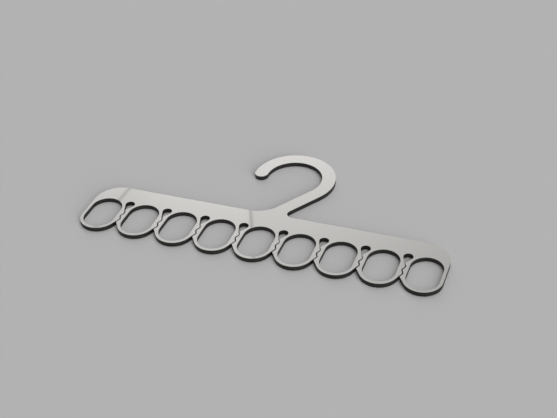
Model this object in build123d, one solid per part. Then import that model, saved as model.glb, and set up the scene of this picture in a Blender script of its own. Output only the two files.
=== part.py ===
from build123d import *
import math
import os

# Tie hanger: one flat sheet, cut to a row of loops under a bar with a hook above it.
# The sheet is a laminate. Two thin metal skins are bonded to a black plastic core.
# All sizes are in millimetres. It lies on its back face, with the hook towards +Y.

# Layers of the sheet
skin_thickness = 0.2
core_thickness = 3.6

# Loops. Each one holds a tie, which goes in through the slit beside it.
loop_count = 9
loop_pitch = 33.6
loop_hole_width = 25.8
loop_hole_height = 38.8
loop_wall = 2.5

# Bar above the loops
bar_depth = 17.65
bar_corner_radius = 21.0

# Hook, an arc of constant width on a straight leaning stem. The stem starts at the middle of
# the bar and runs into the arc as a tangent. Its tip's angle, in degrees from +X, is level.
hook_band_width = 11.4
hook_inner_radius = 23.7
hook_rise = 53.6
hook_tip_angle = 180.0
stem_mouth_side_fillet = 24.3
stem_back_side_fillet = 5.0

# Slits between neighbouring loops, with the round relief hole above each one. Both sit a little
# to the right of halfway between the loops.
slit_kerf = 1.0
slit_shift = 0.24
slit_start_rise = 7.9
slit_leg_count = 4
slit_leg_drop = 4.2
slit_swing = 0.95
slit_turn_radius = 1.6
relief_radius = 3.9
relief_rise = 15.95

# Places that follow from the sizes. Height zero is the middle line of the loop holes.
loop_corner_radius = loop_hole_width / 2
loop_outer_radius = loop_corner_radius + loop_wall
loop_foot_y = loop_corner_radius - loop_hole_height / 2
end_x = loop_pitch * (loop_count - 1) / 2 + loop_outer_radius
bar_top_y = loop_hole_height / 2 + bar_depth
hook_middle_radius = hook_inner_radius + hook_band_width / 2
hook_outer_radius = hook_inner_radius + hook_band_width
hook_centre_y = bar_top_y + hook_rise
stem_lean = math.asin(hook_middle_radius / hook_rise)
slit_foot_y = slit_start_rise - slit_leg_count * slit_leg_drop
top_y = hook_centre_y + hook_outer_radius
bottom_y = loop_foot_y - loop_outer_radius
origin_shift = Pos(0, -(top_y + bottom_y) / 2)


def loop_centres():
    """Places of the loops along the bar, from left to right."""
    return [(index - (loop_count - 1) / 2) * loop_pitch for index in range(loop_count)]


def slit_centres():
    """Places halfway between neighbouring loops, which the slits are drawn from."""
    return [x + loop_pitch / 2 for x in loop_centres()[:-1]]


def slit_turns():
    """Turning points of the slit's middle line, from the relief hole down to its foot."""
    points = []
    for index in range(slit_leg_count + 1):
        side = -1 if index % 2 == 0 else 1
        height = slit_start_rise - index * slit_leg_drop
        points.append((slit_shift + side * slit_swing, height))
    return points


def rectangle(left, right, low, high):
    """Rectangle between two places across and two heights."""
    return Pos((left + right) / 2, (low + high) / 2) * Rectangle(right - left, high - low)


def bar():
    """Bar with the upper halves of the loop walls, and its two round top corners."""
    blank = rectangle(-end_x, end_x, loop_foot_y, bar_top_y)
    corners = blank.vertices().group_by(Axis.Y)[-1]
    return fillet(corners, bar_corner_radius)


def jaw_tips():
    """Places of the left and the right jaw tip, each side of the slit's foot."""
    foot_x = slit_turns()[-1][0]
    return foot_x - slit_kerf / 2, foot_x + slit_kerf / 2


def jaw_web():
    """Strip at the foot of two jaws, which the end of the slit is cut through."""
    left_tip, right_tip = jaw_tips()
    return rectangle(left_tip, right_tip, slit_foot_y, loop_foot_y)


def loop_foot(x, has_left_jaw, has_right_jaw):
    """Round foot of one loop, with straight flanks up to the slits beside it."""
    hulled = Circle(loop_outer_radius).moved(Pos(x, loop_foot_y)).edges()
    left_tip, right_tip = jaw_tips()
    if has_left_jaw:
        left_x = x - loop_pitch / 2 + right_tip
        hulled.append(Edge.make_line((left_x, slit_foot_y), (left_x, loop_foot_y)))
    if has_right_jaw:
        right_x = x + loop_pitch / 2 + left_tip
        hulled.append(Edge.make_line((right_x, slit_foot_y), (right_x, loop_foot_y)))
    return make_hull(hulled)


def hook():
    """Hook band: a round tip, an arc over the rail and the stem down into the bar."""
    start_angle = -math.degrees(stem_lean)
    sweep = hook_tip_angle - start_angle
    arc = CenterArc((0, hook_centre_y), hook_middle_radius, start_angle, sweep)
    root_depth = bar_depth / 2
    root = (-root_depth * math.tan(stem_lean), bar_top_y - root_depth)
    stem = Line(arc @ 0, root)
    tip = Pos(arc @ 1) * Circle(hook_band_width / 2)
    return trace(arc, hook_band_width) + trace(stem, hook_band_width) + tip


def stem_base_corners(outline):
    """Corners where the stem's mouth side and back side meet the top of the bar."""
    half_width = hook_band_width / 2 / math.cos(stem_lean)
    left = Vector(-half_width, bar_top_y)
    right = Vector(half_width, bar_top_y)
    points = outline.vertices()
    return points.sort_by_distance(left)[0], points.sort_by_distance(right)[0]


def solid_outline():
    """Outer outline of the sheet, before its holes and slits are cut."""
    outline = bar() + hook()
    mouth_corner, _ = stem_base_corners(outline)
    outline = fillet(mouth_corner, stem_mouth_side_fillet)
    _, back_corner = stem_base_corners(outline)
    outline = fillet(back_corner, stem_back_side_fillet)
    last = loop_count - 1
    for index, x in enumerate(loop_centres()):
        outline += loop_foot(x, index > 0, index < last)
    for x in slit_centres():
        outline += Pos(x, 0) * jaw_web()
    return outline


def loop_hole():
    """Tall hole with fully round ends that a tie hangs in."""
    return SlotOverall(loop_hole_height, loop_hole_width, rotation=90)


def relief_hole():
    """Teardrop that lets the jaws spring: a round hole running down into the slit."""
    start = Pos(*slit_turns()[0]) * Circle(slit_kerf / 2)
    hole = Pos(slit_shift, relief_rise) * Circle(relief_radius)
    return make_hull(hole.edges() + start.edges())


def slit():
    """Toothed slit that the tie is pulled through, open at the foot of the jaws."""
    turns = slit_turns()
    below = (turns[-1][0], turns[-1][1] - loop_outer_radius)
    return trace(FilletPolyline(*turns, below, radius=slit_turn_radius), slit_kerf)


def sheet_face():
    """Whole face of the sheet, the same in every layer."""
    face = solid_outline()
    for x in loop_centres():
        face -= Pos(x, 0) * loop_hole()
    for x in slit_centres():
        face -= Pos(x, 0) * relief_hole()
        face -= Pos(x, 0) * slit()
    return origin_shift * face


face = sheet_face()
layers = {
    "back_skin": (0, skin_thickness),
    "core": (skin_thickness, core_thickness),
    "front_skin": (skin_thickness + core_thickness, skin_thickness),
}

os.makedirs("parts", exist_ok=True)
for name, (height, thickness) in layers.items():
    layer = extrude(Pos(0, 0, height) * face, amount=thickness)
    export_step(layer, os.path.join("parts", name + ".step"))
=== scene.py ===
"""Tie hanger, cut from one metal and plastic sheet, lying on a plain grey floor.

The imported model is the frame. Its three layers keep their shapes and get their finishes here:
two bright metal skins with a fine grain along the bar, and the near-black core between them.
Sizes are metres and angles are degrees. Azimuths in the light tent run from +Y towards +X.
"""

import logging
import math
from collections.abc import Mapping, Sequence
from dataclasses import dataclass
from enum import Enum

import bpy
from mathutils import Matrix, Vector

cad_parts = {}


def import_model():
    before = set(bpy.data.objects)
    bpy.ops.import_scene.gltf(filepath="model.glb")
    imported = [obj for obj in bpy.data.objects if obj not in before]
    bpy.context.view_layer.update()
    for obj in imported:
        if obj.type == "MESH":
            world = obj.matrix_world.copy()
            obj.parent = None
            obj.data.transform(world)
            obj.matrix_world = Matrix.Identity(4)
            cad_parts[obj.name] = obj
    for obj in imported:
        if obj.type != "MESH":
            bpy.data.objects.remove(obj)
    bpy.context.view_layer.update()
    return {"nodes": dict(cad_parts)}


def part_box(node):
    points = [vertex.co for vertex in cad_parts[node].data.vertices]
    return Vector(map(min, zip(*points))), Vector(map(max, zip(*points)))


log = logging.getLogger("tie_hanger")

MM = 0.001
IN_DEGREES = math.degrees(1.0)
WHITE = (1.0, 1.0, 1.0, 1.0)

COARSE_DETAIL = 1.0
PLAIN_DETAIL = 2.0
FINE_DETAIL = 3.0

MIX_AMOUNT = 0
MIX_FIRST_COLOUR = 6
MIX_SECOND_COLOUR = 7
MIX_COLOUR_RESULT = 2

Triple = tuple[float, float, float]
Pair = tuple[float, float]
Socket = bpy.types.NodeSocket


class Layer(Enum):
    """The three layers of the sheet, by the names of their CAD nodes."""

    FRONT_SKIN = "front_skin"
    CORE = "core"
    BACK_SKIN = "back_skin"


@dataclass(frozen=True)
class Value:
    """A number that comes out of a node, with operators that add Math nodes."""

    bench: "Bench"
    socket: Socket

    def math(self, operation: str, *terms: "Value | float") -> "Value":
        """Adds one Math node.

        Args:
            operation: The Math node's operation.
            terms: Its inputs in order, as values or numbers.

        Returns:
            The node's result.
        """
        node = self.bench.node("ShaderNodeMath", {"operation": operation}, dict(enumerate(terms)))
        return Value(self.bench, node.outputs[0])

    def __add__(self, other: "Value | float") -> "Value":
        """Gives self + other."""
        return self.math("ADD", self, other)

    def __radd__(self, other: "Value | float") -> "Value":
        """Gives other + self."""
        return self.math("ADD", other, self)

    def __sub__(self, other: "Value | float") -> "Value":
        """Gives self - other."""
        return self.math("SUBTRACT", self, other)

    def __rsub__(self, other: "Value | float") -> "Value":
        """Gives other - self."""
        return self.math("SUBTRACT", other, self)

    def __mul__(self, other: "Value | float") -> "Value":
        """Gives self * other."""
        return self.math("MULTIPLY", self, other)

    def __rmul__(self, other: "Value | float") -> "Value":
        """Gives other * self."""
        return self.math("MULTIPLY", other, self)

    def __truediv__(self, other: "Value | float") -> "Value":
        """Gives self / other."""
        return self.math("DIVIDE", self, other)

    def __neg__(self) -> "Value":
        """Gives the value with its sign changed."""
        return self.math("MULTIPLY", self, -1.0)

    def __abs__(self) -> "Value":
        """Gives the size of the value."""
        return self.math("ABSOLUTE", self)

    def __pow__(self, other: "Value | float") -> "Value":
        """Gives self to the power of other."""
        return self.math("POWER", self, other)

    def step(self, low: float, high: float) -> "Value":
        """Gives a soft step of the value.

        Args:
            low: The value at which the step is still 0.
            high: The value at which it has reached 1. It may be below low.

        Returns:
            A value from 0 to 1.
        """
        node = self.bench.node(
            "ShaderNodeMapRange",
            {"interpolation_type": "SMOOTHSTEP"},
            {"Value": self, "From Min": low, "From Max": high, "To Min": 0.0, "To Max": 1.0},
        )
        return Value(self.bench, node.outputs[0])

    def blend(self, low: float, high: float) -> "Value":
        """Gives low where the value is 0 and high where it is 1."""
        return self * (high - low) + low


class Bench:
    """A node tree that starts empty, and the ways to fill it."""

    def __init__(self, tree: bpy.types.NodeTree) -> None:
        """Takes a tree and clears it.

        Args:
            tree: The node tree of a material or of the world.
        """
        self.tree = tree
        tree.nodes.clear()

    def node(
        self,
        kind: str,
        settings: Mapping[str, object] | None = None,
        inputs: Mapping[str | int, object] | None = None,
    ) -> bpy.types.Node:
        """Adds a node.

        Args:
            kind: The node's type.
            settings: Its own settings, which are set first.
            inputs: What goes into its sockets, by name or place: a Value or socket is linked, and
                anything else is set.

        Returns:
            The new node.
        """
        made = self.tree.nodes.new(kind)
        for name, setting in (settings or {}).items():
            setattr(made, name, setting)
        for name, source in (inputs or {}).items():
            source = source.socket if isinstance(source, Value) else source
            if isinstance(source, Socket):
                self.tree.links.new(source, made.inputs[name])
            else:
                made.inputs[name].default_value = source
        return made

    def axes(self, vector: Socket) -> tuple[Value, Value, Value]:
        """Splits a vector.

        Args:
            vector: The vector's socket.

        Returns:
            Its x, y and z.
        """
        split = self.node("ShaderNodeSeparateXYZ", inputs={0: vector})
        return tuple(Value(self, out) for out in split.outputs)

    def dot(self, vector: Socket, along: Triple) -> Value:
        """Gives the dot product of a linked vector and a fixed one."""
        node = self.node("ShaderNodeVectorMath", {"operation": "DOT_PRODUCT"}, {0: vector, 1: along})
        return Value(self, node.outputs["Value"])

    def noise(self, place: Socket, cells: Sequence[float], detail: float = PLAIN_DETAIL) -> Value:
        """Adds a cloudy noise that is stretched along the axes.

        Args:
            place: The point it is read at, in metres.
            cells: The size of its cells along x, y and z, in metres.
            detail: How many finer layers it has.

        Returns:
            The noise, about 0.5 at the middle.
        """
        scaled = self.node(
            "ShaderNodeVectorMath",
            {"operation": "MULTIPLY"},
            {0: place, 1: tuple(1.0 / cell for cell in cells)},
        )
        cloud = self.node(
            "ShaderNodeTexNoise",
            inputs={"Vector": scaled.outputs[0], "Scale": 1.0, "Detail": detail},
        )
        return Value(self, cloud.outputs[0])

    def mix(self, amount: Value, first: Triple | Socket, second: Triple | Socket) -> Socket:
        """Mixes two colours.

        Args:
            amount: 0 gives the first colour and 1 the second.
            first: The first colour, linked or as red, green and blue.
            second: The second colour, in the same way.

        Returns:
            The mixed colour's socket.
        """
        inputs = {MIX_AMOUNT: amount}
        for place, colour in ((MIX_FIRST_COLOUR, first), (MIX_SECOND_COLOUR, second)):
            inputs[place] = colour if isinstance(colour, Socket) else (*colour, 1.0)
        return self.node("ShaderNodeMix", {"data_type": "RGBA"}, inputs).outputs[MIX_COLOUR_RESULT]


@dataclass(frozen=True)
class BrightSkin:
    """Polished sheet metal with a fine grain, faint handling marks and a duller cut edge.

    Cells are the sizes of a pattern's clouds along x, y and z. A range gives the level at which a
    pattern starts to show and the level at which it shows in full. For the cut edge, that level is
    how far the surface faces up or down. A pair of roughnesses is the lowest and the highest.
    """

    name: str = "bright_skin"
    pale: Triple = (0.752, 0.735, 0.714)
    deep: Triple = (0.728, 0.711, 0.690)
    grain_cells: Triple = (18.0 * MM, 0.22 * MM, 0.22 * MM)
    grain_range: Pair = (0.34, 0.66)
    grain_depth: float = 0.00012 * MM
    band_scale: float = 6.0
    band_share: float = 0.4
    smudge_cells: Triple = (21.0 * MM, 21.0 * MM, 21.0 * MM)
    smudge_range: Pair = (0.50, 0.74)
    smudge_share: float = 0.3
    fleck_cells: Triple = (0.9 * MM, 0.5 * MM, 0.9 * MM)
    fleck_range: Pair = (0.62, 0.74)
    polish: float = 0.020
    grain_haze: float = 0.008
    smudge_haze: float = 0.008
    fleck_haze: float = 0.008
    edge_range: Pair = (0.8, 0.3)
    cut_pale: Triple = (0.320, 0.314, 0.306)
    cut_deep: Triple = (0.210, 0.206, 0.200)
    cut_cells: Triple = (0.25 * MM, 0.25 * MM, 4.0 * MM)
    cut_range: Pair = (0.35, 0.65)
    cut_roughness: Pair = (0.45, 0.59)

    def make(self) -> bpy.types.Material:
        """Makes the material.

        Returns:
            The new material.
        """
        material = bpy.data.materials.new(self.name)
        material.use_nodes = True
        bench = Bench(material.node_tree)
        coords = bench.node("ShaderNodeTexCoord").outputs
        place = coords["Object"]

        hair = bench.noise(place, self.grain_cells, FINE_DETAIL)
        band = bench.noise(place, [size * self.band_scale for size in self.grain_cells])
        streak = (hair * (1.0 - self.band_share) + band * self.band_share).step(*self.grain_range)
        smudge = bench.noise(place, self.smudge_cells, FINE_DETAIL).step(*self.smudge_range)
        fleck = bench.noise(place, self.fleck_cells).step(*self.fleck_range)
        paleness = streak * (1.0 - self.smudge_share) + smudge * self.smudge_share
        face_colour = bench.mix(paleness, self.deep, self.pale)
        face_roughness = (
            self.polish
            + streak * self.grain_haze
            + smudge * self.smudge_haze
            + fleck * self.fleck_haze
        )

        upright = abs(bench.axes(coords["Normal"])[2])
        edge = upright.step(*self.edge_range)
        chatter = bench.noise(place, self.cut_cells).step(*self.cut_range)
        cut_colour = bench.mix(chatter, self.cut_deep, self.cut_pale)
        cut_roughness = chatter.blend(*self.cut_roughness)

        bump = bench.node(
            "ShaderNodeBump",
            inputs={"Strength": 1.0, "Distance": self.grain_depth, "Height": streak},
        )
        shader = bench.node(
            "ShaderNodeBsdfPrincipled",
            inputs={
                "Base Color": bench.mix(edge, face_colour, cut_colour),
                "Metallic": 1.0,
                "Roughness": face_roughness * (1.0 - edge) + edge * cut_roughness,
                "Normal": bump.outputs[0],
            },
        )
        bench.node("ShaderNodeOutputMaterial", inputs={"Surface": shader.outputs[0]})
        return material


@dataclass(frozen=True)
class BlackCore:
    """Near-black plastic, cut through, with the cutter's upright marks and a few pale specks.

    Cells, ranges and the pair of roughnesses are as in BrightSkin.
    """

    name: str = "black_core"
    dark: Triple = (0.0034, 0.0032, 0.0028)
    worn: Triple = (0.0086, 0.0080, 0.0070)
    speck: Triple = (0.060, 0.058, 0.055)
    mark_cells: Triple = (0.32 * MM, 0.32 * MM, 5.0 * MM)
    melt_cells: Triple = (6.0 * MM, 6.0 * MM, 0.35 * MM)
    melt_share: float = 0.25
    mark_range: Pair = (0.36, 0.64)
    mark_depth: float = 0.010 * MM
    mark_strength: float = 0.7
    speck_cells: Triple = (0.28 * MM, 0.28 * MM, 0.28 * MM)
    speck_range: Pair = (0.70, 0.78)
    roughness: Pair = (0.42, 0.56)
    gloss: float = 0.42

    def make(self) -> bpy.types.Material:
        """Makes the material.

        Returns:
            The new material.
        """
        material = bpy.data.materials.new(self.name)
        material.use_nodes = True
        bench = Bench(material.node_tree)
        place = bench.node("ShaderNodeTexCoord").outputs["Object"]

        marks = bench.noise(place, self.mark_cells)
        melt = bench.noise(place, self.melt_cells)
        ridge = (marks * (1.0 - self.melt_share) + melt * self.melt_share).step(*self.mark_range)
        specks = bench.noise(place, self.speck_cells, COARSE_DETAIL).step(*self.speck_range)
        plain = bench.mix(ridge, self.dark, self.worn)
        speckled = bench.mix(specks, self.worn, self.speck)

        bump = bench.node(
            "ShaderNodeBump",
            inputs={"Strength": self.mark_strength, "Distance": self.mark_depth, "Height": ridge},
        )
        shader = bench.node(
            "ShaderNodeBsdfPrincipled",
            inputs={
                "Base Color": bench.mix(specks, plain, speckled),
                "Roughness": ridge.blend(*self.roughness),
                "Specular IOR Level": self.gloss,
                "Normal": bump.outputs[0],
            },
        )
        bench.node("ShaderNodeOutputMaterial", inputs={"Surface": shader.outputs[0]})
        return material


@dataclass(frozen=True)
class PlainGrey:
    """The floor's even, matt grey."""

    name: str = "plain_grey"
    colour: Triple = (0.514, 0.514, 0.514)

    def make(self) -> bpy.types.Material:
        """Makes the material.

        Returns:
            The new material.
        """
        material = bpy.data.materials.new(self.name)
        material.use_nodes = True
        bench = Bench(material.node_tree)
        shader = bench.node(
            "ShaderNodeBsdfDiffuse", inputs={"Color": (*self.colour, 1.0), "Roughness": 0.0}
        )
        bench.node("ShaderNodeOutputMaterial", inputs={"Surface": shader.outputs[0]})
        return material


@dataclass
class LaminatedSheet:
    """The hanger itself: a core with a skin on each side, all cut to one outline.

    The CAD nodes have the right shapes, so they stay and are only dressed.
    """

    nodes: Mapping[str, bpy.types.Object]
    skin: BrightSkin = BrightSkin()
    core: BlackCore = BlackCore()

    def dress(self, layer: Layer, material: bpy.types.Material) -> None:
        """Gives one layer its finish.

        Args:
            layer: The layer.
            material: The finish, which takes every material slot of the layer.
        """
        piece = self.nodes[layer.value]
        if not piece.material_slots:
            piece.data.materials.append(material)
        for slot in piece.material_slots:
            slot.material = material
        low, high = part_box(layer.value)
        size = [round(length / MM, 2) for length in high - low]
        log.info("%s: %s, %s mm, %d faces", layer.value, material.name, size, len(piece.data.polygons))

    def build(self) -> None:
        """Dresses the core and both skins."""
        self.dress(Layer.CORE, self.core.make())
        self.dress(Layer.BACK_SKIN, self.skin.make())
        self.dress(Layer.FRONT_SKIN, self.skin.make())


@dataclass
class Floor:
    """The plain floor that the hanger lies on."""

    width: float = 60.0
    gap: float = 0.02 * MM
    finish: PlainGrey = PlainGrey()

    def build(self) -> bpy.types.Object:
        """Makes the floor.

        Returns:
            The floor's object.
        """
        bpy.ops.object.select_all(action="DESELECT")
        bpy.ops.mesh.primitive_plane_add(size=self.width, location=(0.0, 0.0, -self.gap))
        floor = bpy.context.active_object
        floor.name = "floor"
        bpy.ops.object.transform_apply(location=True, rotation=True, scale=True)
        floor.data.materials.append(self.finish.make())
        log.info("floor: %.0f m wide", self.width)
        return floor


@dataclass(frozen=True)
class Seam:
    """A thin soft line between two panels of the light tent.

    It lies in a plane through the hanger, which the normal gives. Its width, and what across
    measures, are sines of the angle to that plane. Its depth is the share of light it takes away.
    """

    normal: Triple
    width: float
    depth: float

    def across(self, bench: Bench, direction: Socket) -> Value:
        """Gives how far a direction is from the seam, with a sign for its side."""
        return bench.dot(direction, self.normal)


@dataclass(frozen=True)
class SoftLight:
    """A round soft light outside the tent, brightest at its middle.

    A higher tightness makes the light smaller.
    """

    azimuth: float
    elevation: float
    tightness: float
    strength: float

    def direction(self) -> Triple:
        """Gives the direction of the light's middle, of length 1."""
        azimuth, elevation = math.radians(self.azimuth), math.radians(self.elevation)
        return (
            math.sin(azimuth) * math.cos(elevation),
            math.cos(azimuth) * math.cos(elevation),
            math.sin(elevation),
        )

    def glow(self, bench: Bench, direction: Socket) -> Value:
        """Gives the light's brightness in a direction."""
        facing = bench.dot(direction, self.direction())
        return self.strength * facing.math("EXPONENT", (facing - 1.0) * self.tightness)


@dataclass(frozen=True)
class LightTent:
    """A white tent round the floor, with soft lights outside it.

    The bright skins mirror the tent. Tall panels stand in a ring, brightest at their middles, with
    a darker band above them and a bright roof. The panel at panel_middle is the one that the
    photograph's view mirrors. It has two seams, the parts beside them differ a little, and it
    darkens past an edge at its left. A skirt of the floor's grey closes the foot of the ring, and
    is the backdrop that is seen over the floor's edge.

    Matt surfaces see the soft lights in place of the tent, and a faint light from everywhere. The
    strongest two shine from the front right, a third from the back left, and the fourth from high
    up at the back. Together they shade the floor round the hanger.

    Each from and full are the angles at which a part of the tent starts and at which it is whole.
    The two reaches are these angles for the mirrored panel, from its middle. Dips and rises are
    shares of the light, and levels and the skirt are brightnesses.
    """

    lights: tuple[SoftLight, ...] = (
        SoftLight(azimuth=126.8, elevation=11.5, tightness=22.0, strength=8.70),
        SoftLight(azimuth=131.1, elevation=45.0, tightness=22.0, strength=5.12),
        SoftLight(azimuth=-30.6, elevation=17.9, tightness=22.0, strength=3.44),
        SoftLight(azimuth=-2.9, elevation=66.4, tightness=22.0, strength=3.27),
    )
    light_everywhere: float = 0.030
    level: float = 1.133
    panel_count: int = 6
    panel_middle: float = -21.9
    panel_dip: float = 0.535
    panel_reach: float = 22.0
    panel_full_reach: float = 13.2
    far_dip_share: float = 0.4
    band_from: float = 28.9
    band_full: float = 40.1
    band_dip: float = 0.367
    roof_from: float = 44.0
    roof_full: float = 60.0
    roof_level: float = 1.03
    edge_from: float = -29.0
    edge_full: float = -31.2
    edge_dip: float = 0.040
    left_seam: Seam = Seam(normal=(-0.7780622, 0.0275276, -0.62758381), width=0.00085, depth=0.55)
    right_seam: Seam = Seam(normal=(-0.9177, -0.3973, 0.0), width=0.0014, depth=0.38)
    side_blur: float = 0.002
    left_rise: float = 0.022
    right_dip: float = 0.069
    skirt: float = 0.445
    skirt_from: float = 16.0
    skirt_full: float = 10.0

    def build(self) -> bpy.types.World:
        """Makes the world.

        Returns:
            The new world, which is the scene's.
        """
        world = bpy.data.worlds.new("light_tent")
        world.use_nodes = True
        bench = Bench(world.node_tree)
        direction = bench.node("ShaderNodeTexCoord").outputs["Generated"]
        tent = self.background(bench, self.tent_light(bench, direction))
        lamps = self.background(bench, self.lamp_light(bench, direction))
        ray = bench.node("ShaderNodeLightPath").outputs
        shown = (
            Value(bench, ray["Is Camera Ray"])
            + Value(bench, ray["Is Glossy Ray"])
            + Value(bench, ray["Is Transmission Ray"])
        ).step(0.0, 1.0)
        both = bench.node(
            "ShaderNodeMixShader", inputs={0: shown, 1: lamps.outputs[0], 2: tent.outputs[0]}
        )
        bench.node("ShaderNodeOutputWorld", inputs={"Surface": both.outputs[0]})
        bpy.context.scene.world = world
        log.info("light tent: %d panels, %d lights", self.panel_count, len(self.lights))
        return world

    @staticmethod
    def background(bench: Bench, light: Value) -> bpy.types.Node:
        """Adds a white background of the given brightness."""
        return bench.node("ShaderNodeBackground", inputs={"Color": WHITE, "Strength": light})

    def tent_light(self, bench: Bench, direction: Socket) -> Value:
        """Works out the tent's own brightness.

        Args:
            bench: The world's bench.
            direction: The direction's socket, of length 1.

        Returns:
            The brightness in that direction.
        """
        x, y, z = bench.axes(direction)
        azimuth = x.math("ARCTAN2", x, y) * IN_DEGREES
        height = z.math("ARCSINE", z) * IN_DEGREES
        from_middle = azimuth - self.panel_middle
        beside = abs(from_middle).step(self.panel_reach, self.panel_full_reach)
        roof = height.step(self.roof_from, self.roof_full)
        skirt = height.step(self.skirt_from, self.skirt_full)

        wave = x.math("COSINE", from_middle * math.radians(self.panel_count))
        valley = (0.5 - 0.5 * wave) * beside.blend(self.far_dip_share, 1.0)
        band = height.step(self.band_from, self.band_full)
        walls = self.level * (1.0 - self.panel_dip * valley) * (1.0 - self.band_dip * band)
        light = walls * (1.0 - roof) + self.roof_level * roof
        light = self.mark_panel(bench, direction, azimuth, light, beside * (1.0 - roof))
        return light * (1.0 - skirt) + self.skirt * skirt

    def mark_panel(
        self, bench: Bench, direction: Socket, azimuth: Value, light: Value, near: Value
    ) -> Value:
        """Draws the seams, the sides and the edge of the mirrored panel.

        Args:
            bench: The world's bench.
            direction: The direction's socket, of length 1.
            azimuth: The direction's azimuth.
            light: The tent's brightness without them.
            near: 1 on the mirrored panel, and 0 far from it.

        Returns:
            The brightness with them.
        """
        for seam in (self.left_seam, self.right_seam):
            across = seam.across(bench, direction)
            line = across.math("EXPONENT", -((across / seam.width) ** 2.0))
            light = light * (1.0 - seam.depth * line * near)
        edge = azimuth.step(self.edge_from, self.edge_full)
        left = self.left_seam.across(bench, direction).step(-self.side_blur, self.side_blur)
        right = self.right_seam.across(bench, direction).step(self.side_blur, -self.side_blur)
        light = light * (1.0 + (self.left_rise * left - self.edge_dip * edge) * near)
        return light * (1.0 - self.right_dip * right * near)

    def lamp_light(self, bench: Bench, direction: Socket) -> Value:
        """Adds up the soft lights.

        Args:
            bench: The world's bench.
            direction: The direction's socket, of length 1.

        Returns:
            The brightness in that direction.
        """
        total = self.light_everywhere
        for lamp in self.lights:
            total = lamp.glow(bench, direction) + total
        return total


@dataclass(frozen=True)
class Viewpoint:
    """The photograph's camera, set by the outline of the hanger in it.

    Its azimuth is how far it stands round from -Y towards +X. A negative roll tips it clockwise, as
    seen from behind it. The target is a point at the floor's height.
    """

    azimuth: float = 21.53
    elevation: float = 36.06
    roll: float = -2.819
    distance: float = 0.8670
    target: Triple = (0.000212, -0.001617, 0.0)
    lens: float = 68.42
    sensor: float = 36.0
    nearest: float = 0.01
    farthest: float = 100.0

    def build(self) -> bpy.types.Object:
        """Makes the camera.

        Returns:
            The camera, which is the scene's.
        """
        azimuth, elevation = math.radians(self.azimuth), math.radians(self.elevation)
        back = Vector(
            (
                math.sin(azimuth) * math.cos(elevation),
                -math.cos(azimuth) * math.cos(elevation),
                math.sin(elevation),
            )
        )
        right = (-back).cross(Vector((0.0, 0.0, 1.0))).normalized()
        up = right.cross(-back)
        level = Matrix((right, up, back)).transposed().to_4x4()
        data = bpy.data.cameras.new("camera")
        data.lens, data.sensor_width = self.lens, self.sensor
        data.clip_start, data.clip_end = self.nearest, self.farthest
        camera = bpy.data.objects.new("camera", data)
        camera.matrix_world = (
            Matrix.Translation(Vector(self.target) + back * self.distance)
            @ level
            @ Matrix.Rotation(math.radians(self.roll), 4, "Z")
        )
        bpy.context.scene.collection.objects.link(camera)
        bpy.context.scene.camera = camera
        log.info("camera: %.2f mm lens, %.3f m away", self.lens, self.distance)
        return camera


def main() -> None:
    """Builds the scene in order."""
    logging.basicConfig(level=logging.INFO, format="%(message)s")
    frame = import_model()
    scene = bpy.context.scene
    scene.view_settings.view_transform = "Standard"
    Viewpoint().build()
    LightTent().build()
    Floor().build()
    LaminatedSheet(frame["nodes"]).build()


if __name__ == "__main__":
    main()
